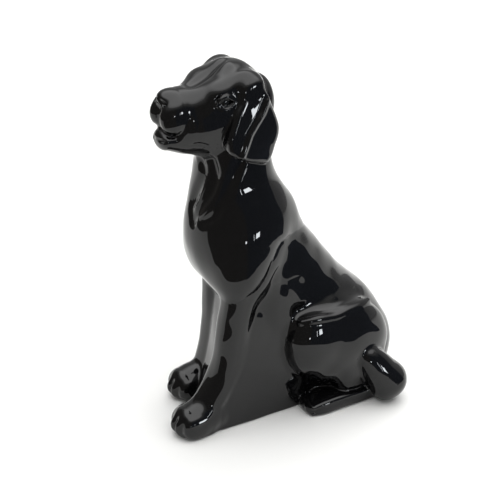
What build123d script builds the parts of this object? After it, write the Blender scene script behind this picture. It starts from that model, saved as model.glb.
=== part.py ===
"""A sitting dog pressed in black glass: one figurine, modelled form by form.

Every form is a row of ovals strung along a straight axis and lofted. A form is then
cut by the larger ones it grows out of, so neighbours meet face to face.
The dog faces -Y, its left side is +X, and it sits on Z = 0 with the origin under its chest.
"""
import os

from build123d import *

os.makedirs("parts", exist_ok=True)

# Trunk, from the ground to inside the head
torso_height = 102.0
torso_depth = 48.0
torso_width = 35.0
torso_middle = 21.0
torso_lean = 36.5

# Head, along the line from the back of the skull to the nose
head_length = 39.0
head_width = 22.6
head_height = 24.4
head_rise = 1.4
head_back = -1.0
nose_rise = 0.156
nose_length = 4.6
nose_width = 6.2
nose_height = 4.8
eye_size = 3.6
eye_spacing = 15.4
eye_reach = 20.2
eye_lift = 3.2
nose_inset = 4.0
nose_lift = 0.6

# Lower jaw and the gap of the open mouth
jaw_length = 17.5
jaw_width = 10.4
jaw_height = 6.4
jaw_front = -40.0
jaw_drop = 6.8

# Hanging ears
ear_length = 27.0
ear_width = 18.4
ear_thickness = 4.6
ear_rise = 11.4
ear_root = -13.5
ear_spread = 8.4
ear_flare = 5.1

# Forelegs: the left one reaches further forward than the right
leg_height = 76.0
leg_width = 11.0
leg_depth = 10.8
leg_spacing = 20.2
left_leg_reach = 22.0
right_leg_reach = 8.0
leg_top_depth = -9.5
paw_length = 16.0
paw_width = 12.0
paw_height = 10.8
left_paw_front = -42.0
right_paw_front = -33.8
toe_groove_width = 0.9
toe_groove_depth = 1.1
toe_arch = 7.0

# Web of glass that fills the space between the legs and the belly
web_height = 46.0
web_width = 29.2
web_rear = 8.0
web_top_rear = 2.0

# Haunches and hind feet
haunch_length = 38.5
haunch_height = 30.5
haunch_thickness = 17.5
haunch_middle = 16.0
haunch_centre = 21.8
haunch_spacing = 31.0
haunch_slope = 20.0
knee_length = 15.0
knee_height = 20.0
knee_thickness = 12.5
knee_front = -2.6
knee_out = 1.4
knee_centre = 26.0
hind_foot_length = 31.0
hind_foot_width = 10.8
hind_foot_height = 7.2
hind_foot_front = -1.2
hind_foot_out = 5.1

# Tail, from inside the rump down to the ground beside it
tail_length = 30.0
tail_width = 12.8
tail_start = (3.5, 25.6, 13.8)
tail_run = (13.0, 2.5, -5.0)

# How far cutting blocks run past what they cut
overrun = 5.0

# Rows of ovals: station, side centre, depth centre, half side, half depth.
# The first is a share of the length, the next two of width and depth, the last two likewise.
torso_shares = [
    (0.000, 0, 0.000, 0.486, 0.440),
    (0.080, 0, -0.005, 0.500, 0.485),
    (0.157, 0, 0.038, 0.500, 0.513),
    (0.235, 0, 0.156, 0.486, 0.510),
    (0.314, 0, 0.288, 0.471, 0.490),
    (0.392, 0, 0.480, 0.457, 0.460),
    (0.471, 0, 0.655, 0.457, 0.458),
    (0.549, 0, 0.789, 0.457, 0.438),
    (0.627, 0, 0.866, 0.443, 0.396),
    (0.706, 0, 0.901, 0.400, 0.342),
    (0.784, 0, 0.943, 0.351, 0.279),
    (0.863, 0, 0.956, 0.314, 0.243),
    (0.941, 0, 0.973, 0.271, 0.215),
    (1.000, 0, 0.985, 0.214, 0.170),
]
head_shares = [
    (0.00, 0, -0.13, 0.28, 0.27),
    (0.20, 0, -0.05, 0.43, 0.42),
    (0.43, 0, 0.00, 0.50, 0.50),
    (0.68, 0, -0.14, 0.35, 0.36),
    (1.00, 0, -0.17, 0.25, 0.27),
]
nose_shares = [
    (0.00, 0, 0.00, 0.50, 0.50),
    (1.00, 0, -0.06, 0.36, 0.34),
]
jaw_shares = [
    (0.00, 0, -0.25, 0.48, 0.66),
    (0.35, 0, -0.20, 0.52, 0.76),
    (0.70, 0, -0.02, 0.49, 0.68),
    (1.00, 0, 0.06, 0.36, 0.42),
]
ear_shares = [
    (0.03, 0.00, 0.020, 0.090, 0.36),
    (0.20, 0.40, -0.010, 0.210, 0.46),
    (0.42, 0.82, -0.028, 0.395, 0.50),
    (0.66, 1.00, -0.043, 0.500, 0.50),
    (0.84, 0.98, -0.050, 0.400, 0.44),
    (1.00, 0.94, 0.080, 0.110, 0.30),
]
leg_shares = [
    (0.02, 0.00, 1.00, 0.47, 0.49),
    (0.16, 0.00, 0.90, 0.47, 0.48),
    (0.34, 0.00, 0.58, 0.46, 0.46),
    (0.52, 0.03, 0.41, 0.49, 0.50),
    (0.63, 0.10, 0.30, 0.58, 0.71),
    (0.77, 0.12, 0.17, 0.58, 0.84),
    (0.90, 0.09, 0.06, 0.47, 0.66),
    (1.00, 0.05, 0.00, 0.36, 0.46),
]
paw_shares = [
    (0.00, 0, 0.50, 0.43, 0.48),
    (0.55, 0, 0.46, 0.49, 0.52),
    (1.00, 0, 0.35, 0.36, 0.36),
]
hind_foot_shares = [
    (0.00, -0.08, 0.38, 0.41, 0.45),
    (0.60, 0.00, 0.45, 0.49, 0.53),
    (1.00, -0.02, 0.38, 0.40, 0.40),
]
tail_shares = [
    (0.0, 0, 0.00, 0.42, 0.42),
    (0.3, 0, 0.03, 0.48, 0.48),
    (0.6, 0, 0.02, 0.50, 0.50),
    (1.0, 0, -0.05, 0.44, 0.44),
]
# How far towards the paws the web's front corners stand, at the ground and at its top, as a share of the legs' reach
web_foot_share = 0.86
web_top_share = 0.38
# A rounded end: the share of the form's length that it takes up, then how far in
# its extra oval stands as a share of that, and how wide the oval is
head_end_share = 0.07
jaw_end_share = 0.1
paw_end_share = 0.14
hind_foot_end_share = 0.09
tail_end_share = 0.18
round_end_shares = (0.22, 0.64)
# Grooves between the toes, as shares of the foot's width from its middle
groove_place_shares = (-0.24, 0.0, 0.24)
forward = Vector(0, -1, 0)
sideways = Vector(1, 0, 0)
upward = Vector(0, 0, 1)


def rounded_rows(rows, end_share, ends):
    """Draws the rows in at the named ends and adds a smaller oval there, so that the loft closes in."""
    low = end_share if "start" in ends else 0
    high = 1 - end_share if "end" in ends else 1
    body = [(low + (high - low) * row[0], *row[1:]) for row in rows]
    first, last = body[0], body[-1]
    place, width = round_end_shares
    if "start" in ends:
        body.insert(0, (end_share * place, *first[1:3], first[3] * width, first[4] * width))
    if "end" in ends:
        body.append((1 - end_share * place, *last[1:3], last[3] * width, last[4] * width))
    return body


def oval_loft(rows, plane, length, width, depth):
    """Lofts the ovals of a table along the plane's normal."""
    rings = []
    for station, side_centre, depth_centre, half_side, half_depth in rows:
        spot = plane.offset(station * length) * Pos(side_centre * width, depth_centre * depth)
        rings.append(spot * Ellipse(half_side * width, half_depth * depth))
    return loft(rings)


def mirrored(shape):
    return mirror(shape, about=Plane.YZ)


def grounded(shape):
    """Cuts off what reaches below the surface that the dog stands on."""
    box = shape.bounding_box()
    if box.min.Z >= 0:
        return shape
    slab = Box(box.size.X + overrun, box.size.Y + overrun, overrun, align=(Align.CENTER, Align.CENTER, Align.MAX))
    return shape - Pos(box.center().X, box.center().Y, 0) * slab


def make_torso():
    """Trunk and neck, standing on the ground and leaning forward as it rises."""
    plane = Plane(origin=(0, torso_middle, 0), x_dir=sideways, z_dir=upward)
    rings = []
    for station, side_centre, lean, half_side, half_depth in torso_shares:
        spot = plane.offset(station * torso_height) * Pos(side_centre * torso_width, -lean * torso_lean)
        rings.append(spot * Ellipse(half_side * torso_width, half_depth * torso_depth))
    return loft(rings)


def head_plane(distance, lift=0):
    """Plane across the head, a distance forward of the back of the skull."""
    along = (forward + upward * nose_rise).normalized()
    up = along.cross(sideways)
    origin = Vector(0, head_back, torso_height + head_rise) + along * distance + up * lift
    return Plane(origin=origin, x_dir=sideways, z_dir=along)


def make_head():
    """Skull and upper muzzle with the nose pad and two domed eyes."""
    rows = rounded_rows(head_shares, head_end_share, ("start", "end"))
    head = oval_loft(rows, head_plane(0), head_length, head_width, head_height)
    pad = oval_loft(nose_shares, head_plane(head_length - nose_inset, nose_lift), nose_length, nose_width, nose_height)
    head += pad
    for turn in (-1, 1):
        head += head_plane(eye_reach, eye_lift) * Pos(turn * eye_spacing / 2) * Sphere(eye_size / 2)
    return head


def make_jaw():
    """Lower jaw, held a little below the muzzle so that the mouth is open."""
    middle = torso_height + head_rise - jaw_drop
    plane = Plane(origin=(0, jaw_front + jaw_length, middle), x_dir=sideways, z_dir=forward)
    return oval_loft(rounded_rows(jaw_shares, jaw_end_share, ("end",)), plane, jaw_length, jaw_width, jaw_height)


def lens(half_width, half_thickness):
    """Face between two arcs that meet at its edges."""
    front, back = (half_width, 0), (-half_width, 0)
    outer = ThreePointArc(front, (0, half_thickness), back)
    inner = ThreePointArc(back, (0, -half_thickness), front)
    return make_face([outer, inner])


def make_ear():
    """Left ear: a thick leaf that hangs from the top of the skull and stands off at its tip."""
    top = torso_height + head_rise + ear_rise
    plane = Plane(origin=(ear_spread, ear_root, top), x_dir=(0, 1, 0), z_dir=-upward)
    rings = []
    for station, out, fore_aft, half_width, half_thickness in ear_shares:
        spot = plane.offset(station * ear_length) * Pos(fore_aft * ear_width, out * ear_flare)
        rings.append(spot * lens(half_width * ear_width, half_thickness * ear_thickness))
    return loft(rings)


def make_foreleg(reach, paw_front, turn):
    """Foreleg from the paw to the shoulder: reach is how far the paw stands ahead of the shoulder."""
    middle = turn * leg_spacing / 2
    plane = Plane(origin=(middle, leg_top_depth, 0), x_dir=sideways * turn, z_dir=upward)
    rings = []
    for station, out, ahead, half_side, half_depth in leg_shares:
        spot = plane.offset(station * leg_height) * Pos(out * leg_width, -turn * ahead * reach)
        rings.append(spot * Ellipse(half_side * leg_width, half_depth * leg_depth))
    leg = loft(rings)
    plane = Plane(origin=(middle, paw_front + paw_length, 0), x_dir=sideways, z_dir=forward)
    rows = rounded_rows(paw_shares, paw_end_share, ("end",))
    return leg + oval_loft(rows, plane, paw_length, paw_width, paw_height)


def toed(foot, middle, front, width):
    """Cuts three arched grooves over the front of a foot, so that four toes stand out."""
    hub = Pos(front + toe_arch, 0)
    quarter = Pos(front - overrun, 0) * Rectangle(
        toe_arch + overrun, toe_arch + overrun, align=(Align.MIN, Align.MIN))
    rim = quarter - hub * Circle(toe_arch - toe_groove_depth)
    groove = extrude(Plane.YZ * rim, toe_groove_width / 2, both=True)
    for place in groove_place_shares:
        foot -= Pos(middle + place * width, 0, 0) * groove
    return foot


def web_outline(height, ahead, rear):
    """Level outline of the web; its front corners stand inside the forelegs, so it runs slantwise between them."""
    half = web_width / 2
    left_front = leg_top_depth - ahead * left_leg_reach
    right_front = leg_top_depth - ahead * right_leg_reach
    corners = [(half, left_front), (half, rear), (-half, rear), (-half, right_front)]
    return Plane.XY.offset(height) * Polygon(*corners, align=None)


def make_web():
    """Wall of glass under the belly, from between the forelegs back to the hind feet."""
    return loft([web_outline(0, web_foot_share, web_rear), web_outline(web_height, web_top_share, web_top_rear)])


def make_haunch():
    """Left haunch: a flat egg with the knee as a smaller one at its front."""
    spot = Pos(haunch_spacing / 2, haunch_middle, haunch_centre) * Rot(X=-haunch_slope)
    thigh = spot * scale(Sphere(0.5), (haunch_thickness, haunch_length, haunch_height))
    spot = Pos(haunch_spacing / 2 + knee_out, knee_front + knee_length / 2, knee_centre)
    knee = spot * scale(Sphere(0.5), (knee_thickness, knee_length, knee_height))
    return thigh + knee


def hind_foot_middle():
    """How far the middle of a hind foot stands from the dog's middle plane."""
    return web_width / 2 + hind_foot_out


def make_hind_foot():
    """Left hind foot, flat along the ground with its toes forward."""
    origin = (hind_foot_middle(), hind_foot_front + hind_foot_length, 0)
    plane = Plane(origin=origin, x_dir=sideways, z_dir=forward)
    rows = rounded_rows(hind_foot_shares, hind_foot_end_share, ("start", "end"))
    return oval_loft(rows, plane, hind_foot_length, hind_foot_width, hind_foot_height)


def make_tail():
    """Short thick tail that leaves the rump and slopes to the ground on the dog's left."""
    along = Vector(*tail_run)
    plane = Plane(origin=tail_start, x_dir=along.cross(upward), z_dir=along)
    return oval_loft(rounded_rows(tail_shares, tail_end_share, ("end",)), plane, tail_length, tail_width, tail_width)


torso = make_torso()
whole_head = make_head()
head = whole_head - torso
lower_jaw = make_jaw() - head - torso
left_foreleg = grounded(make_foreleg(left_leg_reach, left_paw_front, 1)) - torso
right_foreleg = grounded(make_foreleg(right_leg_reach, right_paw_front, -1)) - torso
left_ear = make_ear() - whole_head - torso - left_foreleg
right_ear = mirrored(make_ear()) - whole_head - torso - right_foreleg
leg_web = make_web() - torso - left_foreleg - right_foreleg
left_foreleg = toed(left_foreleg, leg_spacing / 2, left_paw_front, paw_width)
right_foreleg = toed(right_foreleg, -leg_spacing / 2, right_paw_front, paw_width)
left_haunch = make_haunch() - torso - leg_web
left_hind_foot = grounded(make_hind_foot()) - torso - leg_web - left_haunch
left_hind_foot = toed(left_hind_foot, hind_foot_middle(), hind_foot_front, hind_foot_width)
tail = grounded(make_tail()) - torso - left_haunch - left_hind_foot

parts = {
    "torso": torso,
    "head": head,
    "lower_jaw": lower_jaw,
    "left_ear": left_ear,
    "right_ear": right_ear,
    "left_foreleg": left_foreleg,
    "right_foreleg": right_foreleg,
    "leg_web": leg_web,
    "left_haunch": left_haunch,
    "right_haunch": mirrored(left_haunch),
    "left_hind_foot": left_hind_foot,
    "right_hind_foot": mirrored(left_hind_foot),
    "tail": tail,
}
for name, shape in parts.items():
    export_step(shape, f"parts/{name}.step")
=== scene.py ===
"""A sitting dog pressed in black glass, on a pale floor in soft studio light.

The dog is one pressing, so its skin is worked out as one surface: every form is a distance
function, the forms are melted together with small radii, and the skin is where the distance is
zero. Each named piece of the frame gets the stretch of skin that belongs to its own form, with walls
where it meets its neighbours. Shape tables are in millimetres of a dog 118 mm tall. The dog faces
-Y, its left side is +X, and it stands on Z = 0.
"""
from functools import cache

import bpy
import numpy as np
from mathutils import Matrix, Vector


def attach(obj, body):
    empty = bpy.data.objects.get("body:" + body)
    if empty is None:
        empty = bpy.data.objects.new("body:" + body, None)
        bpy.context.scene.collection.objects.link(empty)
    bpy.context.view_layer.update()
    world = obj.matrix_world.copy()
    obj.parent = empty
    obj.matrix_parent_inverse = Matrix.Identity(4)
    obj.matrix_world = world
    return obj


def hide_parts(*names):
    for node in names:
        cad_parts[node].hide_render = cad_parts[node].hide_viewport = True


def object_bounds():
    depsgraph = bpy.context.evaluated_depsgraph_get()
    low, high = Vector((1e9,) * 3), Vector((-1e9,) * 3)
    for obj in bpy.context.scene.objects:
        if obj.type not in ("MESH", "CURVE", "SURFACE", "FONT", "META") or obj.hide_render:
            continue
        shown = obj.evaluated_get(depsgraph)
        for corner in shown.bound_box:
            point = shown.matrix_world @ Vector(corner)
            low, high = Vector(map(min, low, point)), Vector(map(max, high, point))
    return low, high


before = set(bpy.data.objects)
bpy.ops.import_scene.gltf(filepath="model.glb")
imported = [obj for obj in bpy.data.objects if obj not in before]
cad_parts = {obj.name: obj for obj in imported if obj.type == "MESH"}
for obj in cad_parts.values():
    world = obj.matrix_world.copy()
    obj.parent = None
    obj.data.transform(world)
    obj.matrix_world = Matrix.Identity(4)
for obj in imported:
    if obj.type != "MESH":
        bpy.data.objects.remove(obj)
cad_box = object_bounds()

bl_info = {
    "name": "Glass dog figurine",
    "version": (1, 0, 0),
    "blender": (4, 5, 0),
    "location": "View3D > Sidebar > Figurine",
    "description": "Builds a sitting dog in pressed black glass around its packed frame",
    "category": "Add Mesh",
}

DESIGN_HEIGHT = 118.0
FIGURE_HEIGHT = cad_box[1][2] - cad_box[0][2]
MM = FIGURE_HEIGHT / DESIGN_HEIGHT
MIRROR = np.array([-1.0, 1.0, 1.0])
Y = 1
Z = 2

# Distance given to points well away from a form, and what keeps roots and divisions from zero
FAR = 40.0
TINY = 1e-9
TINY_SQUARE = 1e-12


def linear(hex_colour):
    """Linear RGBA of an sRGB hex value."""
    srgb = np.array([int(hex_colour[i:i + 2], 16) / 255 for i in (1, 3, 5)])
    rgb = np.where(srgb <= 0.04045, srgb / 12.92, ((srgb + 0.055) / 1.055) ** 2.4)
    return (*rgb, 1.0)


# Distance functions


def natural_spline(stations, table):
    """Second derivatives of the cubic through each column of a table, at its stations.

    The cubic is straight at both ends.
    """
    gap = np.diff(stations)
    n = len(stations)
    system, right = np.eye(n), np.zeros_like(table)
    for i in range(1, n - 1):
        system[i, i - 1:i + 2] = gap[i - 1], 2 * (gap[i - 1] + gap[i]), gap[i]
        right[i] = 6 * ((table[i + 1] - table[i]) / gap[i] - (table[i] - table[i - 1]) / gap[i - 1])
    return np.linalg.solve(system, right)


class Chain:
    """Ovals strung along a straight axis.

    A row holds a station, the oval's centre to the side and up, and its half width and half height;
    cubics run through them. With U and V the offsets from the centre over the halves, the oval is
    (|U|^n + |V|^n)^(1/n) = 1, and the distance is that value less 1, over its gradient. The ends are
    rounded by drawing every oval in by a radius and taking it off the distance again.
    """
    LEAST_HALF = 0.3

    def __init__(self, rows, origin=(0, 0, 0), along=(0, 0, 1), side=(1, 0, 0), power=2.0, end_radius=2.0):
        rows = np.array(rows, float)
        self.along = np.array(along, float) / np.linalg.norm(along)
        side = np.array(side, float) - np.dot(side, self.along) * self.along
        self.side = side / np.linalg.norm(side)
        self.up = np.cross(self.along, self.side)
        self.origin, self.power, self.radius = np.array(origin, float), power, end_radius
        self.stations, self.table = rows[:, 0], rows[:, 1:5]
        middle = self.origin + self.stations[:, None] * self.along
        middle = middle + self.table[:, :1] * self.side + self.table[:, 1:2] * self.up
        half = self.table[:, 2:].max(1)[:, None]
        self.low, self.high = (middle - half).min(0), (middle + half).max(0)
        self.table[:, 2:] = np.maximum(self.table[:, 2:] - end_radius, self.LEAST_HALF)
        self.bend = natural_spline(self.stations, self.table)

    def section(self, station):
        """Centre and halves of the oval at each station, and how fast they change there."""
        t = self.stations
        k = np.clip(np.searchsorted(t, station, side="right") - 1, 0, len(t) - 2)
        gap = (t[k + 1] - t[k])[:, None]
        a = (t[k + 1] - station)[:, None] / gap
        b = 1 - a
        v0, v1, m0, m1 = self.table[k], self.table[k + 1], self.bend[k], self.bend[k + 1]
        value = a * v0 + b * v1 + ((a ** 3 - a) * m0 + (b ** 3 - b) * m1) * gap ** 2 / 6
        slope = (v1 - v0) / gap + ((3 * b * b - 1) * m1 - (3 * a * a - 1) * m0) * gap / 6
        return value.T, slope.T

    def __call__(self, p):
        q = p - self.origin
        s = q @ self.along
        first, last = self.stations[0] + self.radius, self.stations[-1] - self.radius
        station = np.clip(s, first, last)
        (c1, c2, a, b), (dc1, dc2, da, db) = self.section(station)
        u, v, n = (q @ self.side - c1) / a, (q @ self.up - c2) / b, self.power
        rho = (np.abs(u) ** n + np.abs(v) ** n + TINY) ** (1 / n)
        gu = (np.abs(u) / rho) ** (n - 1) * np.sign(u)
        gv = (np.abs(v) / rho) ** (n - 1) * np.sign(v)
        gs = (gu * (-dc1 - u * da) / a + gv * (-dc2 - v * db) / b) / np.maximum(rho, 1)
        d = (rho - 1) / np.sqrt((gu / a) ** 2 + (gv / b) ** 2 + gs ** 2 + TINY_SQUARE)
        past = np.maximum(first - s, s - last)
        outside = np.hypot(np.maximum(d, 0), np.maximum(past, 0))
        return outside + np.minimum(np.maximum(d, past), 0) - self.radius


class Ball:
    """Ellipsoid whose third axis points along.

    With r the distance from the centre over the ellipsoid's own radius that way, the distance to it
    is (r - 1) / |grad r|.
    """

    def __init__(self, centre, half, along=(0, 0, 1)):
        w = np.array(along, float) / np.linalg.norm(along)
        side = np.array([1.0, 0.0, 0.0])
        u = side - np.dot(side, w) * w
        u = u / np.linalg.norm(u)
        self.axes = np.stack([u, np.cross(w, u), w])
        self.centre, self.half = np.array(centre, float), np.array(half, float)
        self.low, self.high = self.centre - self.half.max(), self.centre + self.half.max()

    def __call__(self, p):
        q = (p - self.centre) @ self.axes.T / self.half
        r = np.sqrt((q ** 2).sum(1)) + TINY
        return (r - 1) * r / np.sqrt(((q / self.half) ** 2).sum(1) + TINY_SQUARE)


class Cord:
    """Round cord on a curve through points, with a radius at each.

    The distance is that to the nearest run of the curve, less the radius there.
    """

    def __init__(self, points, radius, steps=6):
        rows = np.column_stack([np.array(points, float), np.broadcast_to(radius, len(points))])
        rows = curve(rows, steps=steps)
        self.points, self.radius = rows[:, :3], rows[:, 3]
        self.low = self.points.min(0) - self.radius.max()
        self.high = self.points.max(0) + self.radius.max()

    def __call__(self, p):
        best = np.full(len(p), FAR)
        for a, b, ra, rb in zip(self.points[:-1], self.points[1:], self.radius[:-1], self.radius[1:]):
            run = b - a
            t = np.clip((p - a) @ run / (run @ run), 0, 1)
            gap = np.sqrt(((p - a - t[:, None] * run) ** 2).sum(1))
            best = np.minimum(best, gap - ra - t * (rb - ra))
        return best


def curve(points, closed=False, steps=6):
    """Points along the Catmull-Rom curve through a row of points."""
    p = np.array(points, float)
    if closed:
        a, b, c, d = (np.roll(p, shift, 0) for shift in (1, 0, -1, -2))
    else:
        p = np.vstack([2 * p[0] - p[1], p, 2 * p[-1] - p[-2]])
        a, b, c, d = p[:-3], p[1:-2], p[2:-1], p[3:]
    t = np.linspace(0, 1, steps, endpoint=False)[:, None, None]
    square = (2 * a - 5 * b + 4 * c - d) * t ** 2
    cube = (3 * b - a - 3 * c + d) * t ** 3
    run = 0.5 * (2 * b + (c - a) * t + square + cube)
    run = run.transpose(1, 0, 2).reshape(-1, p.shape[1])
    return run if closed else np.vstack([run, p[-2]])


def near(form, p, reach=8.0):
    """A form's distance close to it, and a large one elsewhere."""
    keep = ((p > form.low - reach) & (p < form.high + reach)).all(1)
    out = np.full(len(p), FAR)
    out[keep] = form(p[keep])
    return out


def melt(a, b, radius):
    """Smaller of two distances, rounded by a radius where they are alike."""
    h = np.maximum(radius - np.abs(a - b), 0) / radius
    return np.minimum(a, b) - h * h * radius / 4


def carve(a, b, radius):
    """The first form without the second, with a rounded edge."""
    return -melt(-a, b, radius)


def ramp(value, start, end):
    """Smooth step from 0 at the start to 1 at the end."""
    t = np.clip((value - start) / (end - start), 0, 1)
    return t * t * (3 - 2 * t)


def joined(first, others, p):
    """A form with others melted on or carved away in turn, each with its radius."""
    d = near(first, p)
    for join, form, radius in others:
        d = join(d, near(form, p), radius)
    return d


def halves(p):
    """Points folded onto the dog's left side."""
    return np.column_stack([np.abs(p[:, 0]), p[:, 1:]])


def mirrored(form):
    """The same form on the dog's right."""
    def right(p):
        return form(p * MIRROR)
    return right


def scaled(rows, length, width, height, side=0.0):
    """Rows in shares turned into millimetres: stations by length, sides by width, heights by height."""
    return [(s * length, side + c * width, u * height, a * width, b * height) for s, c, u, a, b in rows]


def run_distance(y, z, a, run):
    """Distance in a plane to the straight run that starts at a."""
    t = np.clip(((y - a[0]) * run[0] + (z - a[1]) * run[1]) / (run @ run), 0, 1)
    return np.hypot(y - a[0] - t * run[0], z - a[1] - t * run[1])


def outline_distance(y, z, points):
    """Signed distance to a closed outline in a plane, negative inside it."""
    best, inside = np.full(len(y), FAR), np.zeros(len(y), bool)
    for a, b in zip(points, np.roll(points, -1, 0)):
        run = b - a
        best = np.minimum(best, run_distance(y, z, a, run))
        crosses = ((a[1] <= z) & (b[1] > z)) | ((b[1] <= z) & (a[1] > z))
        inside ^= crosses & (y < a[0] + (z - a[1]) * run[0] / np.where(run[1] == 0, 1, run[1]))
    return np.where(inside, -best, best)


def beside(y, z, line):
    """Signed distance to an open line in a plane, positive behind it."""
    best, signed = np.full(len(y), FAR), np.full(len(y), FAR)
    for a, b in zip(np.array(line[:-1]), np.array(line[1:])):
        run = b - a
        d = run_distance(y, z, a, run)
        side = np.sign(run[0] * (z - a[1]) - run[1] * (y - a[0]))
        signed = np.where(d < best, d * side, signed)
        best = np.minimum(best, d)
    return signed


# Trunk and neck

torso_table = [
    (-4, 21.4, 16.0, 19.8), (0, 21.0, 16.2, 20.3), (8.2, 21.3, 16.6, 22.5), (16, 19.8, 16.6, 23.8),
    (24, 15.6, 16.2, 23.8), (32, 10.8, 15.7, 22.8), (40, 3.9, 15.0, 21.5), (48, -2.5, 14.7, 21.4),
    (56, -7.5, 14.5, 20.3), (64, -10.8, 14.1, 17.7), (72, -12.2, 13.0, 15.1), (80, -13.5, 11.6, 12.5),
    (88, -13.9, 10.6, 11.2), (96, -14.5, 9.2, 9.9), (104, -15.0, 7.3, 7.9),
]
trunk = Chain([(z, 0, y, a, b) for z, y, a, b in torso_table], power=2.5, end_radius=3.0)
TORSO_REACH = 9.0

# Lower edge of the shoulders in side view (Y, Z), and how they rise from it
shoulder_edge = curve([
    (19, 57.5), (11.8, 60.2), (5.0, 62.1), (-1.4, 62.9), (-6.4, 62.4), (-9.4, 58.0), (-12.0, 52.5),
    (-15.1, 48.9), (-18.3, 47.2), (-21.9, 45.2), (-26.0, 43.5), (-34.0, 40.0)], steps=4)
SHOULDER_RAISE = 1.8
SHOULDER_BAND = 10.5
SHOULDER_SPAN = (38, 90)
NECK_FADE = (66, 88)
CHEST_FADE = (-27, -16)
CHEST_SHARE = 0.2


def torso(p):
    """Trunk, from the ground up into the head."""
    return near(trunk, p, TORSO_REACH)


def shoulder_step(p):
    """How far the shoulders stand out, like a cape.

    They rise over a rounded band along their lower edge in side view, and fade up the neck and
    towards the chest.
    """
    keep = (p[:, Z] > SHOULDER_SPAN[0]) & (p[:, Z] < SHOULDER_SPAN[1])
    y, z = p[keep, Y], p[keep, Z]
    share = np.clip(-beside(y, z, shoulder_edge) / SHOULDER_BAND, 0, 1)
    fade = (1 - ramp(z, *NECK_FADE)) * (CHEST_SHARE + (1 - CHEST_SHARE) * ramp(y, *CHEST_FADE))
    out = np.zeros(len(p))
    out[keep] = SHOULDER_RAISE * (1 - (1 - share) ** 2) * fade
    return out


# Head: the table is in shares of its length, width and height

HEAD_LENGTH = 38.4
HEAD_WIDTH = 22.6
HEAD_HEIGHT = 24.4
head_shares = [
    (0.04, 0, -0.13, 0.30, 0.28), (0.16, 0, -0.08, 0.38, 0.375), (0.28, 0, -0.02, 0.43, 0.455),
    (0.42, 0, 0.00, 0.455, 0.475), (0.55, 0, -0.05, 0.40, 0.345), (0.66, 0, -0.075, 0.335, 0.265),
    (0.78, 0, -0.125, 0.30, 0.280), (0.87, 0, -0.14, 0.275, 0.265), (0.945, 0, -0.14, 0.24, 0.235),
]
skull = Chain(scaled(head_shares, HEAD_LENGTH, HEAD_WIDTH, HEAD_HEIGHT), origin=(0, -1, 103.4),
              along=(0, -1, 0.156), power=2.25, end_radius=4.0)
ear_root = Ball((8.2, -13.6, 111.4), (2.6, 4.4, 5.0), along=(0, -0.75, 0.66))
brow = Ball((6.6, -20.8, 109.7), (3.2, 3.8, 3.7))
cheek = Ball((4.5, -19.5, 104.2), (5.7, 10.0, 9.6))
flew = Ball((3.4, -34.0, 104.0), (3.2, 5.0, 5.0))
nose = Ball((0, -35.2, 109.0), (3.5, 3.1, 2.7))
socket = Ball((9.9, -21.8, 108.4), (2.4, 2.6, 2.4))
eye = Ball((8.5, -21.4, 108.4), (1.9, 1.9, 1.9))
upper_lid = Cord([(9.2, -23.9, 108.2), (9.9, -22.9, 109.7), (10.2, -21.2, 110.2),
                  (10.3, -19.4, 109.3)], 0.5)
lower_lid = Cord([(9.2, -23.9, 108.0), (9.9, -22.6, 106.8), (10.3, -21.0, 106.5),
                  (10.4, -19.2, 107.6)], 0.45)
nostril = Cord([(1.5, -38.2, 109.2), (2.5, -37.3, 108.4), (3.1, -36.2, 107.9)], (0.6, 0.6, 0.35))
philtrum = Cord([(0, -38.3, 107.5), (0, -38.9, 105.0), (0, -38.6, 102.0), (0, -37.6, 99.0)], 0.5)
forehead_line = Cord([(0, -27.5, 112.6), (0, -22.5, 115.0), (0, -17.0, 117.9)], (1.1, 1.3, 0.5))
mouth_line = Cord([(0, -39.0, 100.3), (3.2, -38.2, 99.8), (5.2, -35.6, 99.0), (6.2, -33.2, 98.0)],
                  (0.75, 0.7, 0.5, 0.15))
HEAD_FORMS = (
    (melt, cheek, 3.0), (melt, brow, 2.5), (melt, ear_root, 3.0), (melt, flew, 2.0), (melt, nose, 1.0),
    (carve, forehead_line, 2.2), (carve, socket, 0.9),
    (melt, eye, 0.35), (melt, upper_lid, 0.8), (melt, lower_lid, 0.8),
    (carve, nostril, 0.7), (carve, philtrum, 1.2), (carve, mouth_line, 1.0),
)


def head(p):
    """Skull and upper muzzle with brows, lidded eyes, cheeks, flews, nose and the line of the mouth."""
    return joined(skull, HEAD_FORMS, halves(p))


# Folds of loose skin on the throat and the line where the neck meets the shoulder
throat_folds = [
    Cord([(1.4, -25.8, 88.0), (2.9, -26.2, 84.0), (0.2, -27.5, 77.2), (-1.0, -28.4, 73.0),
          (0.9, -29.1, 68.5)], (1.2, 1.5, 1.5, 1.2, 0.5)),
    Cord([(5.4, -24.0, 89.0), (6.6, -24.0, 84.9), (5.9, -25.4, 79.7), (3.7, -27.5, 74.7),
          (0.9, -29.1, 68.5)], (1.2, 1.5, 1.5, 1.2, 0.5)),
    Cord([(10.8, -16.8, 89.5), (10.6, -20.0, 84.0), (10.2, -21.6, 80.0), (9.5, -23.4, 76.7),
          (8.4, -25.2, 72.5), (5.4, -27.6, 69.6)], (1.2, 1.3, 1.3, 1.2, 1.0, 0.5)),
]


# Lower jaw

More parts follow.
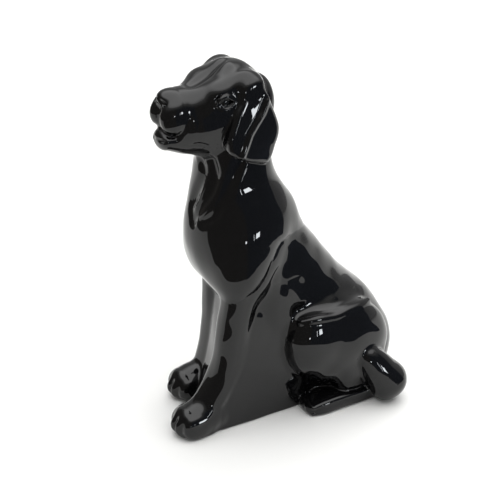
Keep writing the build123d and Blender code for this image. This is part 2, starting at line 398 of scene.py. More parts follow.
JAW_LENGTH = 16.4
JAW_WIDTH = 11.6
JAW_HEIGHT = 6.6
jaw_shares = [
    (-0.2, 0, 0.66, 0.62, 1.60), (0.00, 0, 0.66, 0.64, 1.60), (0.30, 0, 0.60, 0.63, 1.50),
    (0.60, 0, 0.62, 0.53, 1.32), (0.85, 0, 0.62, 0.45, 1.05), (1.00, 0, 0.52, 0.36, 0.85),
]
jaw = Chain(scaled(jaw_shares, JAW_LENGTH, JAW_WIDTH, JAW_HEIGHT), origin=(0, -22.5, 96.6),
            along=(0, -1, 0), power=2.1, end_radius=2.3)
lower_lip = Ball((0, -36.6, 98.2), (3.5, 2.5, 2.3))
lip_groove = Cord([(-3.4, -38.1, 97.6), (0, -39.9, 97.4), (3.4, -38.1, 97.6)], 0.4)
lip_corner = Cord([(6.6, -31.6, 95.4), (7.2, -29.0, 96.0), (7.6, -26.2, 94.9), (7.2, -27.6, 93.6),
                   (6.6, -30.2, 93.8), (6.6, -31.6, 95.4)], 0.35)
MOUTH_HEIGHT = 98.5
MOUTH_RISE = 4.3
MOUTH_BACK = (-35.5, -30.5)
MOUTH_EDGE = 2.0
LIP_MELT = 1.0
GROOVE_EDGE = 0.6


def lower_jaw(p):
    """Lower jaw with its rolled lip.

    The mouth shows only at the front, and behind it the jaw runs into the cheek.
    """
    p = halves(p)
    above_mouth = MOUTH_HEIGHT + MOUTH_RISE * ramp(p[:, Y], *MOUTH_BACK) - p[:, Z]
    d = carve(near(jaw, p), above_mouth, MOUTH_EDGE)
    d = melt(d, near(lower_lip, p), LIP_MELT)
    return carve(d, near(lip_groove, p), GROOVE_EDGE)


# Hanging ear: its outline and its crease in side view (Y, Z)

ear_outline = curve([
    (-9.8, 111.2), (-8.6, 108.8), (-7.0, 105.5), (-5.4, 101.5), (-4.2, 98.0), (-4.1, 95.0), (-5.1, 91.8),
    (-6.5, 88.6), (-8.5, 87.1), (-12.0, 88.3), (-15.6, 89.6), (-19.2, 91.3), (-21.9, 94.0), (-22.0, 98.5),
    (-19.8, 104.0), (-17.2, 108.8), (-15.4, 111.6), (-12.8, 113.6), (-10.4, 113.4)], closed=True, steps=5)
ear_crease = [(-8.8, 112.5), (-9.0, 108.5), (-11.2, 104.5), (-13.6, 101.5), (-15.8, 98.6), (-18.4, 92.5)]
EAR_ROOT = 11.4
EAR_FLARE = 2.2
EAR_THICKNESS = 4.4
EAR_TOP = 117
EAR_LENGTH = 29
EAR_SWELL = 0.75
SWELL_SLOPE = 0.10
SWELL_BEND = 0.012
SWELL_AHEAD = 2.0
CREASE_HEIGHT = 0.55
CREASE_WIDTH = 0.9
FLARE_RATE = 1.15
SWELL_RATE = 4
SWELL_START = 0.2
OUTER_EDGE = 1.9
INNER_EDGE = 1.0
EAR_LOW = (3, -33, 79)
EAR_HIGH = (24, 3, 126)


def left_ear(p):
    """Leaf between two surfaces inside its outline.

    It flares out as it hangs. Its outer face swells along a raised crease, falling off behind it by
    a parabola and in front of it by an exponential.
    """
    keep = ((p > EAR_LOW) & (p < EAR_HIGH)).all(1)
    x, y, z = p[keep].T
    down = np.clip((EAR_TOP - z) / EAR_LENGTH, 0, 1)
    s = beside(y, z, ear_crease)
    ridge = CREASE_HEIGHT * np.exp(-(s / CREASE_WIDTH) ** 2)
    behind = EAR_SWELL - SWELL_SLOPE * s - SWELL_BEND * s * s
    ahead = EAR_SWELL * np.exp(np.minimum(s, 0) / SWELL_AHEAD)
    swell = np.where(s > 0, behind, ahead) + ridge
    outer = EAR_ROOT + EAR_FLARE * np.sin(np.clip(down * FLARE_RATE, 0, 1) * np.pi / 2)
    outer = outer + swell * np.clip(down * SWELL_RATE - SWELL_START, 0, 1)
    leaf = carve(outline_distance(y, z, ear_outline), outer - x, OUTER_EDGE)
    out = np.full(len(p), FAR)
    out[keep] = carve(leaf, x - outer + EAR_THICKNESS, INNER_EDGE)
    return out


# Forelegs: the left one reaches further forward

leg_table = [
    (-3.0, 10.1, 1.00, 5.1, 5.2), (1.5, 10.1, 1.00, 5.2, 5.3), (6.1, 10.1, 0.95, 5.3, 5.3),
    (12.2, 10.1, 0.79, 5.2, 4.9), (22.8, 10.1, 0.56, 5.1, 4.8), (32.0, 10.2, 0.48, 5.1, 5.0),
    (40.0, 10.4, 0.41, 5.2, 5.4), (48.0, 10.8, 0.33, 5.4, 6.0), (56.0, 10.6, 0.22, 5.2, 6.5),
    (66.0, 9.4, 0.06, 4.2, 5.5),
]
paw_shares = [
    (-0.15, 0, 0.50, 0.40, 0.44), (0.00, 0, 0.50, 0.42, 0.46), (0.30, 0, 0.49, 0.48, 0.54),
    (0.58, 0, 0.43, 0.49, 0.50), (0.74, 0, 0.38, 0.44, 0.43), (0.87, 0, 0.33, 0.34, 0.32),
]
LEG_TOP_DEPTH = -9.5
LEG_MIDDLE = 10.1
PAW_LENGTH = 16.0
PAW_WIDTH = 12.0
PAW_HEIGHT = 10.8
OUTER_TOE_BACK = 1.9


def toe_row(middle, front, spread, radius, length, height):
    """Four toes side by side, the outer ones set back."""
    rows = ((-1.5, OUTER_TOE_BACK), (-0.5, 0.0), (0.5, 0.0), (1.5, OUTER_TOE_BACK))
    return [Ball((middle + place * spread, front + length + back, height), (radius, length, height))
            for place, back in rows]


def foot_with_toes(d, toes, p, radius):
    """A foot's distance with its toes melted on and creases between them."""
    row = joined(toes[0], [(melt, toe, 0.5) for toe in toes[1:]], p)
    return melt(d, row, radius)


def foreleg(reach, paw_front):
    """A foreleg on the dog's left, from how far it leans forward and where its paw ends."""
    leg = Chain([(z, x, LEG_TOP_DEPTH - ahead * reach, a, b) for z, x, ahead, a, b in leg_table],
                power=2.8, end_radius=3.0)
    arm = Ball((9.6, -14.6, 60.0), (6.2, 7.4, 14.6), along=(-0.12, 0.30, 0.95))
    paw = Chain(scaled(paw_shares, PAW_LENGTH, PAW_WIDTH, PAW_HEIGHT, LEG_MIDDLE),
                origin=(0, paw_front + PAW_LENGTH, 0), along=(0, -1, 0), power=2.1, end_radius=3.4)
    toes = toe_row(LEG_MIDDLE, paw_front + 0.3, spread=2.75, radius=1.95, length=4.6, height=3.9)

    def distance(p):
        return foot_with_toes(joined(leg, ((melt, arm, 3.0), (melt, paw, 1.6)), p), toes, p, 1.2)
    return distance


# Web of glass under the belly: height, front, rear and half width

web_edges = [
    (-4, -28.0, 14, 14.6), (0, -28.0, 14, 14.6), (6, -26.0, 14, 14.6), (12, -23.6, 13, 14.6),
    (24, -20.8, 9, 14.6), (36, -18.8, 4, 14.4), (50, -17.0, -3, 12.4),
]
WEB_SLANT = 0.38
WEB_SLANT_FALL = 0.0045
WEB_TOP = 50
web = Chain([(z, 0, (rear + front) / 2, half, (rear - front) / 2) for z, front, rear, half in web_edges],
            power=7.0, end_radius=1.5)


def leg_web(p):
    """Wall that fills the space between the legs and the belly.

    It runs slantwise from leg to leg, further forward the further left, and less so higher up.
    """
    slant = WEB_SLANT - WEB_SLANT_FALL * np.clip(p[:, Z], 0, WEB_TOP)
    return near(web, np.column_stack([p[:, 0], p[:, Y] + slant * p[:, 0], p[:, Z]]))


# Haunch: thigh, knee and the crest along its top

thigh = Ball((15.5, 16.0, 21.8), (8.75, 15.25, 19.25), along=(0, 0.94, -0.342))
knee = Ball((16.9, 4.9, 26.0), (6.25, 7.5, 10.0))
shank = Chain([(0, 11.5, 9.5, 8.5, 9.0), (8, 13.0, 9.5, 9.4, 9.0), (17, 13.6, 9.0, 8.4, 7.6)],
              origin=(0, 31, 0), along=(0, -1, 0), power=2.6, end_radius=3.5)
crest = Cord([(18.6, 0.4, 34.2), (20.6, 4.5, 35.0), (20.8, 11.0, 34.3), (20.2, 16.0, 34.4),
              (18.8, 21.5, 34.2), (16.0, 27.0, 33.6)], 0.8)
valley = Cord([(16.6, 0.4, 37.0), (18.0, 6.0, 37.6), (18.0, 12.5, 37.4), (16.4, 19.5, 37.0),
               (13.0, 26.5, 36.6)], 0.9)


def left_haunch(p):
    """Folded thigh with the knee at its front, the shank under it, and a crest along its top."""
    return joined(thigh, ((melt, knee, 4.0), (melt, shank, 4.0), (melt, crest, 1.6)), p)


# Hind foot

HIND_LENGTH = 30.4
HIND_WIDTH = 10.8
HIND_HEIGHT = 5.6
HIND_MIDDLE = 19.4
hind_shares = [
    (-0.1, -0.12, 0.36, 0.38, 0.42), (0.00, -0.10, 0.38, 0.40, 0.44), (0.35, -0.06, 0.42, 0.44, 0.50),
    (0.62, -0.04, 0.46, 0.45, 0.53), (0.78, -0.05, 0.43, 0.44, 0.49), (0.87, -0.07, 0.37, 0.37, 0.41),
    (0.94, -0.09, 0.31, 0.27, 0.30),
]
hind = Chain(scaled(hind_shares, HIND_LENGTH, HIND_WIDTH, HIND_HEIGHT, HIND_MIDDLE),
             origin=(0, 30.6, 0), along=(0, -1, 0), power=3.0, end_radius=1.4)
hind_toes = toe_row(18.6, 1.8, spread=2.2, radius=1.6, length=4.4, height=2.1)


def left_hind_foot(p):
    """Long low foot, flat on the ground with its toes forward."""
    return foot_with_toes(near(hind, p), hind_toes, p, 1.0)


# Tail

tail_rod = Cord([(7.0, 25.5, 15.5), (16.0, 24.0, 17.0), (21.4, 22.8, 17.4), (23.6, 26.2, 13.0),
                 (25.4, 30.2, 7.2)], (4.0, 4.6, 4.0, 5.2, 5.9), steps=24)
tail_base = Chain([(0, 0, 0, 5.0, 6.0), (10, 0, 0, 5.4, 6.4), (20.5, 0, 0, 5.2, 6.0)],
                  origin=(7.5, 26.5, 8.0), along=(13, 3.2, -1.6), side=(3.2, -13, 0), power=2.6,
                  end_radius=2.6)


def tail(p):
    """Short thick tail that leaves the rump, curls round the left haunch and slopes to the ground."""
    return joined(tail_rod, ((melt, tail_base, 3.0),), p)


# Each piece of the frame, its form, and how softly it melts into those before it, in millimetres
PIECES = {
    "torso": (torso, 0.0), "head": (head, 3.5), "lower_jaw": (lower_jaw, 0.8),
    "left_ear": (left_ear, 0.9), "right_ear": (mirrored(left_ear), 0.9),
    "left_foreleg": (foreleg(reach=22.0, paw_front=-41.8), 2.2),
    "right_foreleg": (mirrored(foreleg(reach=9.2, paw_front=-32.8)), 2.2),
    "leg_web": (leg_web, 1.2),
    "left_haunch": (left_haunch, 2.6), "right_haunch": (mirrored(left_haunch), 2.6),
    "left_hind_foot": (left_hind_foot, 0.8), "right_hind_foot": (mirrored(left_hind_foot), 0.8),
    "tail": (tail, 1.1),
}
NAMES = list(PIECES)

# Where a piece melts in more softly: how much more, and the axes and spans over which that sets in
EAR_SOFTER = (3.0, ((Z, 106, 114),))
FORELEG_SOFTER = (5.0, ((Z, 36, 50),))
SOFTER = {
    "lower_jaw": (4.0, ((Y, -35, -30),)),
    "left_ear": EAR_SOFTER, "right_ear": EAR_SOFTER,
    "left_foreleg": FORELEG_SOFTER, "right_foreleg": FORELEG_SOFTER,
    "leg_web": (5.0, ((Y, -14, -6), (Z, 24, 36))),
}

# Radii that round the edges of the creases and of the ground's cut, and the height of the ripple
VALLEY_EDGE = 2.4
LIP_EDGE = 0.8
FOLD_EDGE = 2.0
GROUND_EDGE = 0.8
RIPPLE_HEIGHT = 0.035


def ripple(p):
    """Waviness of a fire-polished pressing: three crossed sines about 8 mm long."""
    waves = ((0.62, 0.35, 0.21, 1.3), (0.18, -0.55, 0.43, 0.4), (-0.41, 0.27, 0.66, 2.2))
    return RIPPLE_HEIGHT * sum(np.sin(p @ wave[:3] + wave[3]) for wave in waves)


def melt_radius(name, p):
    """How softly a piece melts into those before it, at each point."""
    radius = PIECES[name][1]
    if name in SOFTER:
        extra, spans = SOFTER[name]
        for axis, start, end in spans:
            extra = extra * ramp(p[:, axis], start, end)
        radius = radius + extra
    return radius


def figure(p):
    """Distance to the whole dog, and each piece's own distance, one row each."""
    own = [form(p) for form, _ in PIECES.values()]
    d = own[0]
    for name, part in zip(NAMES[1:], own[1:]):
        d = melt(d, part, melt_radius(name, p))
        if name == "leg_web":
            d = d - shoulder_step(p)
    side = halves(p)
    d = carve(d, near(valley, side), VALLEY_EDGE)
    d = carve(d, near(lip_corner, side), LIP_EDGE)
    for fold in throat_folds:
        d = carve(d, near(fold, p), FOLD_EDGE)
    return carve(d + ripple(p), p[:, Z], GROUND_EDGE), np.stack(own)


# Skin: the surface where the distance is zero, cut into pieces

CORNERS = np.array([(i, j, k) for i in (0, 1) for j in (0, 1) for k in (0, 1)])
CELL_FACES = ((0, 1, 3, 2), (4, 5, 7, 6), (0, 1, 5, 4), (2, 3, 7, 6), (0, 2, 6, 4), (1, 3, 7, 5))
LEVELS = 4

# Air left round the dog's box in millimetres, and a block's reach beside its half diagonal
MARGIN = 2.5
REACH_MARGIN = 1.45

# Passes that fill bare edges, and how deep a filled corner counts, in cells
FILL_PASSES = 20
FILL_DEPTH = -0.05

# Where along a grid edge the skin may cross it, and how much an inner border counts beside the skin
CROSSING_SHARES = (0.03, 0.97)
BORDER_WEIGHT = 0.02

# How often points are moved onto the skin, how far off the gradient is probed, and the step's limits
SETTLE_TURNS = 2
PROBE = 0.04
LEAST_SQUARE = 0.05
LONGEST_STEP = 0.6


def skin_cells(low, high, cell):
    """Cells of a grid that the skin or a border between pieces may cross.

    Blocks are halved level by level, and those too far from the skin and the borders are left out.
    """
    counts = np.ceil((high - low) / (cell * 2 ** LEVELS)).astype(int)
    blocks = np.stack(np.meshgrid(*[np.arange(n) for n in counts], indexing="ij"), -1).reshape(-1, 3)
    for level in range(LEVELS, -1, -1):
        size = cell * 2 ** level
        d, own = figure(low + (blocks + 0.5) * size)
        first, second = np.partition(own, 1, axis=0)[:2]
        reach = 0.5 * 3 ** 0.5 * size * REACH_MARGIN
        blocks = blocks[(np.abs(d) < reach) | ((d < reach) & (second - first < 2 * reach))]
        if level:
            blocks = (blocks[:, None] * 2 + CORNERS).reshape(-1, 3)
    return blocks, counts * 2 ** LEVELS + 2


def part_edges(corner, label, value, cell):
    """Fills corners where a piece meets itself along a bare edge.

    Filling one corner can bare another edge, so it is done over again, and some edges may be left.
    """
    for _ in range(FILL_PASSES):
        changed = False
        for face in CELL_FACES:
            for turn in (0, 1):
                a, b, c, e = (corner[:, face[(i + turn) % 4]] for i in range(4))
                bad = (label[a] == label[c]) & (label[a] > 0)
                bad = bad & (label[b] != label[a]) & (label[e] != label[a])
                if bad.any():
                    fill = np.where(label[b[bad]] == 0, b[bad], e[bad])
                    label[fill] = label[a[bad]]
                    value[fill] = np.minimum(value[fill], FILL_DEPTH * cell)
                    changed = True
        if not changed:
            break


def settle(points, cell):
    """Moves points onto the skin along the distance's gradient, and gives the skin's normals there."""
    tetrahedron = np.array([(1, 1, 1), (1, -1, -1), (-1, 1, -1), (-1, -1, 1)])
    for turn in range(SETTLE_TURNS + 1):
        values = [figure(points + PROBE * corner)[0] for corner in tetrahedron]
        gradient = sum(v[:, None] * corner for v, corner in zip(values, tetrahedron)) / (4 * PROBE)
        size = np.linalg.norm(gradient, axis=1)[:, None]
        if turn < SETTLE_TURNS:
            step = -gradient * (sum(values) / 4)[:, None] / np.maximum(size ** 2, LEAST_SQUARE)
            length = np.maximum(np.linalg.norm(step, axis=1)[:, None], TINY)
            points = points + step * np.minimum(1, LONGEST_STEP * cell / length)
    return points, gradient / size


@cache
def skin(cell):
    """Vertices, their normals, quads, and the piece on either side of each quad.

    Each cell that pieces or air meet in gets one vertex, at the mean of the places where its edges
    cross a border; each grid edge that crosses a border gives a quad between the four cells round it.
    """
    low = np.array(cad_box[0]) / MM - MARGIN
    high = np.array(cad_box[1]) / MM + MARGIN
    cells, span = skin_cells(low, high, cell)
    places = (cells[:, None] + CORNERS).reshape(-1, 3)

    def key(at):
        return (at[..., 0] * span[1] + at[..., 1]) * span[2] + at[..., 2]

    keys, first, corner = np.unique(key(places), return_index=True, return_inverse=True)
    places, corner = places[first], corner.reshape(-1, 8)
    value, own = figure(low + places * cell)
    label = np.where(value < 0, np.argmin(own, 0) + 1, 0)
    part_edges(corner, label, value, cell)
    total, weight = np.zeros((len(cells), 3)), np.zeros(len(cells))
    for i in range(8):
        for axis, bit in enumerate((4, 2, 1)):
            if i & bit:
                continue
            ends = corner[:, i], corner[:, i | bit]
            (l0, l1), (v0, v1) = (label[e] for e in ends), (value[e] for e in ends)
            outer = (l0 != l1) & ((l0 == 0) | (l1 == 0))
            share = np.clip(v0 / np.where(v0 == v1, 1, v0 - v1), *CROSSING_SHARES)
            share = np.where(outer, share, 0.5)
            crossing = np.where(outer, 1.0, np.where(l0 != l1, BORDER_WEIGHT, 0.0))
            at = np.tile(CORNERS[i].astype(float), (len(cells), 1))
            at[:, axis] += share
            total += at * crossing[:, None]
            weight += crossing
    points = low + cell * (cells + total / np.maximum(weight, TINY)[:, None])
    outside = (label[corner] == 0).any(1) & (weight > 0)
    normals = np.zeros_like(points)
    points[outside], normals[outside] = settle(points[outside], cell)
    order = np.argsort(key(cells))
    cell_keys = key(cells)[order]

    def cell_at(at):
        spot = np.clip(np.searchsorted(cell_keys, key(at)), 0, len(cell_keys) - 1)
        return np.where(cell_keys[spot] == key(at), order[spot], -1)

    quads, inner, outer = [], [], []
    for axis, step in enumerate(np.eye(3, dtype=int)):
        ahead = np.clip(np.searchsorted(keys, key(places + step)), 0, len(keys) - 1)
        crossed = (keys[ahead] == key(places + step)) & (label != label[ahead])
        start = places[crossed]
        b, c = np.roll(step, 1), np.roll(step, 2)
        ring = np.stack([cell_at(start - b - c), cell_at(start - c), cell_at(start),
                         cell_at(start - b)], 1)
        whole = (ring >= 0).all(1)
        quads.append(ring[whole])
        inner.append(label[crossed][whole])
        outer.append(label[ahead][crossed][whole])
    return points * MM, normals, np.vstack(quads), np.concatenate(inner), np.concatenate(outer)


def glass_piece(name, cell, material):
    """The stretch of skin of one named piece, with the walls between it and its neighbours."""
    points, normals, quads, inner, outer = skin(cell)
    number = NAMES.index(name) + 1
    here, there = quads[inner == number], quads[outer == number][:, ::-1]
    faces = np.vstack([here, there])
    bare = np.concatenate([outer[inner == number] == 0, inner[outer == number] == 0])
    used, index = np.unique(faces, return_inverse=True)
    mesh = bpy.data.meshes.new(name + "_glass")
    mesh.vertices.add(len(used))
    mesh.vertices.foreach_set("co", points[used].ravel())
    mesh.loops.add(faces.size)
    mesh.loops.foreach_set("vertex_index", index.ravel())
    mesh.polygons.add(len(faces))
    mesh.polygons.foreach_set("loop_start", np.arange(0, faces.size, 4))
    mesh.update(calc_edges=True)
    mesh.validate()
    corners = points[faces]
    flat = np.cross(corners[:, 2] - corners[:, 0], corners[:, 3] - corners[:, 1])
    flat = flat / np.maximum(np.linalg.norm(flat, axis=1), TINY_SQUARE)[:, None]
    shading = np.where(bare[:, None, None], normals[faces], flat[:, None])
    mesh.normals_split_custom_set(shading.reshape(-1, 3).tolist())
    mesh.materials.append(material)
    piece = bpy.data.objects.new(name + "_glass", mesh)
    bpy.context.scene.collection.objects.link(piece)
    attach(piece, "root")
    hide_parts(name)


# Materials


def add_node(tree, kind, links=(), **settings):
    """Adds a node, sets its settings and inputs, and links sockets into it."""
    node = tree.nodes.new(kind)
    for name, value in settings.items():
        if name in node.inputs:
            node.inputs[name].default_value = value
        else:
            setattr(node, name, value)
    for source, target in links:
        tree.links.new(source, node.inputs[target])
    return node


def new_material(name):
    """Material with an empty node tree, and that tree."""
    material = bpy.data.materials.new(name)
    material.use_nodes = True
    material.node_tree.nodes.clear()
    return material, material.node_tree


# Glass: size and height of its waves, spacing and depth of its dents, in millimetres, then the
# dents' strength, their radius as a share of the spacing, and the spread of the haze about its mean
WAVE_SIZE = 7.0
WAVE_HEIGHT = 0.03
DENT_SPACING = 5.0
DENT_DEPTH = 0.05
DENT_STRENGTH = 0.25
DENT_SHARE = 0.055
HAZE_SPREAD = (0.6, 1.4)


def black_glass(look):
    """Pressed soda-lime glass coloured to opacity.

    Its body is black and mirror-smooth, and nearly all that the eye gets is its reflections, which
    waves, a faint haze and sparse shallow dents disturb.
    """
    material, tree = new_material("pressed_black_glass")
    place = add_node(tree, "ShaderNodeTexCoord").outputs["Object"]
    swirl = add_node(tree, "ShaderNodeTexNoise", [(place, "Vector")],
                     Scale=1 / (WAVE_SIZE * MM), Detail=1.5)
    pits = add_node(tree, "ShaderNodeTexVoronoi", [(place, "Vector")],
                    Scale=1 / (DENT_SPACING * MM), Randomness=1.0)
    pit = add_node(tree, "ShaderNodeMapRange", [(pits.outputs["Distance"], "Value")])
    pit.inputs["From Min"].default_value = 0.0
    pit.inputs["From Max"].default_value = DENT_SHARE
    haze = add_node(tree, "ShaderNodeMapRange", [(swirl.outputs["Fac"], "Value")])
    haze.inputs["To Min"].default_value = look.roughness * HAZE_SPREAD[0]
    haze.inputs["To Max"].default_value = look.roughness * HAZE_SPREAD[1]
    waves = add_node(tree, "ShaderNodeBump", [(swirl.outputs["Fac"], "Height")],
                     Strength=1.0, Distance=WAVE_HEIGHT * MM)
    dents = add_node(tree, "ShaderNodeBump",
                     [(pit.outputs["Result"], "Height"), (waves.outputs["Normal"], "Normal")],
                     Strength=DENT_STRENGTH, Distance=DENT_DEPTH * MM)
    glass = add_node(tree, "ShaderNodeBsdfPrincipled",
                     [(haze.outputs["Result"], "Roughness"), (dents.outputs["Normal"], "Normal")],
                     IOR=look.ior)
    glass.inputs["Base Color"].default_value = (*look.colour, 1.0)
    add_node(tree, "ShaderNodeOutputMaterial", [(glass.outputs["BSDF"], "Surface")])
    return material


# Floor paint
PAINT_ROUGHNESS = 0.6


def plain_paint(name, colour):
    """Matt emulsion paint: even and soft."""
    material, tree = new_material(name)
    paint = add_node(tree, "ShaderNodeBsdfPrincipled", Roughness=PAINT_ROUGHNESS)
    paint.inputs["Base Color"].default_value = colour
    add_node(tree, "ShaderNodeOutputMaterial", [(paint.outputs["BSDF"], "Surface")])
    return material


def glow(name, colour, strength, fade=None):
    """Surface that gives off light, for the panels that the glass mirrors.

    A fade (low, high, colour) turns it to that colour from the one height to the other.
    """
    material, tree = new_material(name)
    shine = add_node(tree, "ShaderNodeEmission", Strength=strength)
    shine.inputs["Color"].default_value = colour
    if fade:
        low, high, top = fade
        place = add_node(tree, "ShaderNodeTexCoord").outputs["Object"]
        height = add_node(tree, "ShaderNodeSeparateXYZ", [(place, "Vector")]).outputs["Z"]
        share = add_node(tree, "ShaderNodeMapRange", [(height, "Value")],
                         interpolation_type="SMOOTHSTEP")
        share.inputs["From Min"].default_value = low * MM
        share.inputs["From Max"].default_value = high * MM
        blend = add_node(tree, "ShaderNodeMix", [(share.outputs["Result"], "Factor")],
                         data_type="RGBA")
        blend.inputs["A"].default_value = colour
        blend.inputs["B"].default_value = top
        tree.links.new(blend.outputs["Result"], shine.inputs["Color"])
    add_node(tree, "ShaderNodeOutputMaterial", [(shine.outputs["Emission"], "Surface")])
    return material


# Settings

# The camera's distance in millimetres, the pixels that a millimetre takes there, and the widths of
# the frame in pixels and of the sensor in millimetres
CAMERA_DISTANCE = 420.0
PIXELS_PER_MM = 3.18
FRAME_WIDTH = 500
SENSOR_WIDTH = 36.0


class GlassSettings(bpy.types.PropertyGroup):
    """Finish of the glass and fineness of its skin."""
    colour: bpy.props.FloatVectorProperty(
        name="Body colour", description="Colour of the glass itself under its reflections",
        subtype="COLOR", size=3, min=0, max=1, default=linear("#0b0b0c")[:3])
    ior: bpy.props.FloatProperty(
        name="Index of refraction",
        description="Soda-lime glass has about 1.5, and a lower value darkens the reflections",
        default=1.44, min=1.3, max=1.9)
    roughness: bpy.props.FloatProperty(
        name="Haze", description="Mean roughness of the fire-polished skin", default=0.03, min=0,
        max=0.5)
    cell: bpy.props.FloatProperty(
        name="Cell size", description="Side of the cells that the skin is found in, in millimetres",
        default=0.45, min=0.3, max=2.0)


class StudioSettings(bpy.types.PropertyGroup):
    """Floor, light and camera."""
    floor: bpy.props.FloatVectorProperty(
        name="Floor", description="Colour of the floor", subtype="COLOR", size=3, min=0, max=1,
        default=linear("#f4f4f2")[:3])
    sky: bpy.props.FloatProperty(
        name="Room light", description="Brightness of the pale room all round", default=0.62, min=0,
        max=10)
    softbox: bpy.props.FloatProperty(
        name="Softboxes", description="Brightness of the softboxes and of the ceiling in the glass",
        default=2.2, min=0, max=50)
    window: bpy.props.FloatProperty(
        name="Windows", description="Brightness of the windows that the glass mirrors", default=24.0,
        min=0, max=200)
    azimuth: bpy.props.FloatProperty(
        name="Camera azimuth", description="Turn of the camera from straight ahead of the dog",
        subtype="ANGLE", default=np.radians(60.0))
    elevation: bpy.props.FloatProperty(
        name="Camera elevation", description="Height of the camera as an angle", subtype="ANGLE",
        default=np.radians(27.0))
    distance: bpy.props.FloatProperty(
        name="Camera distance", description="From the point looked at", subtype="DISTANCE", unit="LENGTH",
        default=CAMERA_DISTANCE * MM, min=0.1)


def settings():
    """The settings of the glass and those of the studio."""
    return bpy.context.scene.figurine_glass, bpy.context.scene.figurine_studio


def build_glass(*names):
    """Makes the named pieces from the skin."""
    look, _ = settings()
    material = bpy.data.materials.get("pressed_black_glass") or black_glass(look)
    cell = look.cell
    for name in names:
        glass_piece(name, cell, material)
    return {"FINISHED"}


# Operators


class FIGURINE_OT_torso(bpy.types.Operator):
    """Trunk and neck"""
    bl_idname = "figurine.torso"
    bl_label = "Torso"

    def execute(self, context):
        return build_glass("torso")


class FIGURINE_OT_head(bpy.types.Operator):
    """Head and lower jaw"""
    bl_idname = "figurine.head"
    bl_label = "Head and jaw"

    def execute(self, context):
        return build_glass("head", "lower_jaw")


class FIGURINE_OT_ears(bpy.types.Operator):
    """Both hanging ears"""
    bl_idname = "figurine.ears"
    bl_label = "Ears"

    def execute(self, context):
        return build_glass("left_ear", "right_ear")


class FIGURINE_OT_forelegs(bpy.types.Operator):
    """Both forelegs with the web of glass between them and the belly"""
    bl_idname = "figurine.forelegs"
    bl_label = "Forelegs and web"

    def execute(self, context):
        return build_glass("left_foreleg", "right_foreleg", "leg_web")


class FIGURINE_OT_hindquarters(bpy.types.Operator):
    """Haunches, hind feet and tail"""
    bl_idname = "figurine.hindquarters"
    bl_label = "Haunches, hind feet and tail"

    def execute(self, context):
        return build_glass("left_haunch", "right_haunch", "left_hind_foot", "right_hind_foot", "tail")


# Studio, in millimetres: the floor, the dark walls with their fade, the windows and the dark ground
FLOOR_HALF = 3000
WALL_DISTANCE = 1400
WALL_LOW = -100
WALL_HIGH = 1400
WALL_FADE = (700, 1350)
WINDOW_DISTANCE = 1380
GROUND_END = 1450
GROUND_HEIGHT = 0.4
SECTOR_STEPS = 12

# How far up the ceiling sets in, as the sine of the angle, and the brightness of ceiling and rear
# softbox beside the softbox overhead
CEILING_SINES = (0.55, 0.86)
CEILING_SHARE = 1.6
BACK_LIGHT_SHARE = 0.8

# What the lamps and the camera point at
LAMP_AIM = (0, 0, 60)
CAMERA_AIM = (0, -7.7, 53.4)


def panel(name, points, faces, material, seen_by_camera=False):
    """Stage panel; unless the camera sees it, it shows only in the glass."""
    mesh = bpy.data.meshes.new(name)
    mesh.from_pydata([tuple(point) for point in points], [], faces)
    mesh.materials.append(material)
    board = bpy.data.objects.new(name, mesh)
    bpy.context.scene.collection.objects.link(board)
    board.visible_camera = board.visible_shadow = board.visible_diffuse = seen_by_camera


def around(azimuth, distance, height):
    """Point at a compass angle in degrees from +X, a distance out and a height up, in millimetres."""
    turn = np.radians(azimuth)
    return Vector((np.cos(turn) * distance, np.sin(turn) * distance, height)) * MM


def wall(name, start, end, distance, low, high, material, steps=SECTOR_STEPS):
    """Curved panel that stands round the dog from one compass angle to another."""
    turns = np.linspace(start, end, steps + 1)
    points = [around(t, distance, h) for t in turns for h in (low, high)]
    panel(name, points, [(2 * i, 2 * i + 1, 2 * i + 3, 2 * i + 2) for i in range(steps)], material)


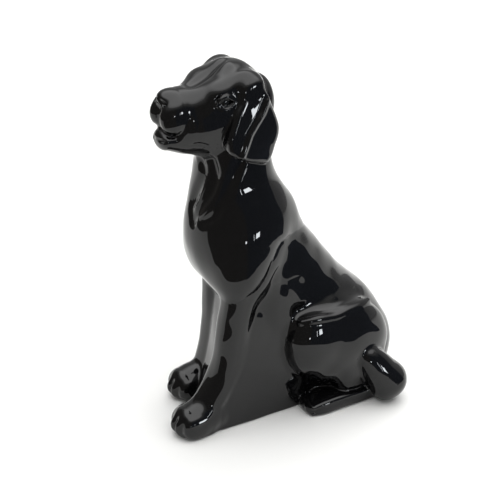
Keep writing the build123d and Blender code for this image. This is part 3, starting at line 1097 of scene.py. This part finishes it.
class FIGURINE_OT_studio(bpy.types.Operator):
    """Floor, lights, what the glass mirrors, and the camera"""
    bl_idname = "figurine.studio"
    bl_label = "Studio"

    def execute(self, context):
        _, studio = settings()
        scene = context.scene
        scene.view_settings.view_transform = "Standard"
        size = FLOOR_HALF * MM
        panel("floor", [(-size, -size, 0), (size, -size, 0), (size, size, 0), (-size, size, 0)],
              [(0, 1, 2, 3)], plain_paint("white_emulsion", (*studio.floor, 1.0)), seen_by_camera=True)
        scene.world = self.room(studio)
        self.softbox("softbox_overhead", (0, 150, 900), (1300, 1300), studio.softbox)
        self.softbox("softbox_behind", (-700, 900, 350), (1300, 700), studio.softbox * BACK_LIGHT_SHARE)
        fade = (*WALL_FADE, linear("#cfcfcd"))
        dark = glow("dark_room", linear("#6b6864"), 1.0, fade)
        cold = glow("cold_shade", linear("#59606b"), 1.0, fade)
        wall("far_wall_left", -165, -18, WALL_DISTANCE, WALL_LOW, WALL_HIGH, dark)
        wall("far_wall_right", -18, 68, WALL_DISTANCE, WALL_LOW, WALL_HIGH, cold)
        self.table_edge("dark_ground_front", -165, -92, 420, dark)
        self.table_edge("dark_ground_left", -92, -18, 118, dark)
        self.table_edge("dark_ground_right", -18, 68, 118, cold)
        window = glow("window", linear("#f6fbff"), studio.window)
        for name, start, end, low, high, steps in (
                ("window_wide", 12, 21, 60, 300, 3), ("window_strip", 4, 5.2, 40, 300, 1),
                ("window_low", -25, -21, 30, 110, 1)):
            wall(name, start, end, WINDOW_DISTANCE, low, high, window, steps)
        self.camera(studio)
        return {"FINISHED"}

    def room(self, studio):
        """Pale room all round; in the glass it grows brighter toward the ceiling."""
        world = bpy.data.worlds.new("pale_room")
        world.use_nodes = True
        tree = world.node_tree
        tree.nodes.clear()
        way = add_node(tree, "ShaderNodeTexCoord").outputs["Generated"]
        height = add_node(tree, "ShaderNodeSeparateXYZ", [(way, "Vector")]).outputs["Z"]
        ceiling = add_node(tree, "ShaderNodeMapRange", [(height, "Value")],
                           interpolation_type="SMOOTHSTEP")
        ceiling.inputs["From Min"].default_value = CEILING_SINES[0]
        ceiling.inputs["From Max"].default_value = CEILING_SINES[1]
        ceiling.inputs["To Min"].default_value = studio.sky
        ceiling.inputs["To Max"].default_value = CEILING_SHARE * studio.softbox
        in_glass = add_node(tree, "ShaderNodeLightPath").outputs["Is Glossy Ray"]
        strength = add_node(tree, "ShaderNodeMix",
                            [(in_glass, "Factor"), (ceiling.outputs["Result"], "B")])
        strength.inputs["A"].default_value = studio.sky
        back = add_node(tree, "ShaderNodeBackground", [(strength.outputs["Result"], "Strength")])
        add_node(tree, "ShaderNodeOutputWorld", [(back.outputs["Background"], "Surface")])
        return world

    def softbox(self, name, place, size, brightness):
        """Rectangular light of the given brightness, aimed at the dog's middle.

        The glass doesn't mirror it: it mirrors the bright ceiling instead.
        """
        light = bpy.data.lights.new(name, "AREA")
        light.shape = "RECTANGLE"
        light.size, light.size_y = size[0] * MM, size[1] * MM
        light.energy = brightness * np.pi * light.size * light.size_y
        lamp = bpy.data.objects.new(name, light)
        bpy.context.scene.collection.objects.link(lamp)
        lamp.location = Vector(place) * MM
        way = Vector(LAMP_AIM) * MM - lamp.location
        lamp.rotation_euler = way.to_track_quat("-Z", "Y").to_euler()
        lamp.visible_camera = lamp.visible_glossy = False

    def table_edge(self, name, start, end, inner, material):
        """Dark ring sector on the ground past the white sheet, as the glass mirrors it."""
        turns = np.linspace(start, end, SECTOR_STEPS + 1)
        corners = [around(t, inner, GROUND_HEIGHT) for t in turns]
        corners += [around(t, GROUND_END, GROUND_HEIGHT) for t in turns[::-1]]
        panel(name, corners, [tuple(range(len(corners)))], material)

    def camera(self, studio):
        """Camera at the given angles, looking at the middle of the dog."""
        aim = Vector(CAMERA_AIM) * MM
        back = Vector((np.sin(studio.azimuth) * np.cos(studio.elevation),
                       -np.cos(studio.azimuth) * np.cos(studio.elevation), np.sin(studio.elevation)))
        data = bpy.data.cameras.new("camera")
        data.sensor_width = SENSOR_WIDTH
        data.lens = SENSOR_WIDTH * PIXELS_PER_MM * CAMERA_DISTANCE / FRAME_WIDTH
        data.clip_start = 0.01
        eye = bpy.data.objects.new("camera", data)
        bpy.context.scene.collection.objects.link(eye)
        eye.location = aim + back * studio.distance
        eye.rotation_euler = back.to_track_quat("Z", "Y").to_euler()
        bpy.context.scene.camera = eye


OPERATORS = (FIGURINE_OT_torso, FIGURINE_OT_head, FIGURINE_OT_ears, FIGURINE_OT_forelegs,
             FIGURINE_OT_hindquarters, FIGURINE_OT_studio)


class FIGURINE_PT_panel(bpy.types.Panel):
    """Buttons and settings of the figurine"""
    bl_idname = "FIGURINE_PT_panel"
    bl_label = "Glass dog"
    bl_space_type = "VIEW_3D"
    bl_region_type = "UI"
    bl_category = "Figurine"

    def draw(self, context):
        for operator in OPERATORS:
            self.layout.operator(operator.bl_idname)
        for group in settings():
            for name in group.bl_rna.properties.keys():
                if name not in ("rna_type", "name"):
                    self.layout.prop(group, name)


CLASSES = (GlassSettings, StudioSettings, *OPERATORS, FIGURINE_PT_panel)


def register():
    for cls in CLASSES:
        bpy.utils.register_class(cls)
    bpy.types.Scene.figurine_glass = bpy.props.PointerProperty(type=GlassSettings)
    bpy.types.Scene.figurine_studio = bpy.props.PointerProperty(type=StudioSettings)


def unregister():
    del bpy.types.Scene.figurine_studio
    del bpy.types.Scene.figurine_glass
    for cls in reversed(CLASSES):
        bpy.utils.unregister_class(cls)


def main():
    """Registers the tools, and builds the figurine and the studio."""
    register()
    for operator in OPERATORS:
        getattr(bpy.ops.figurine, operator.bl_idname.split(".")[1])()


if __name__ == "__main__":
    main()
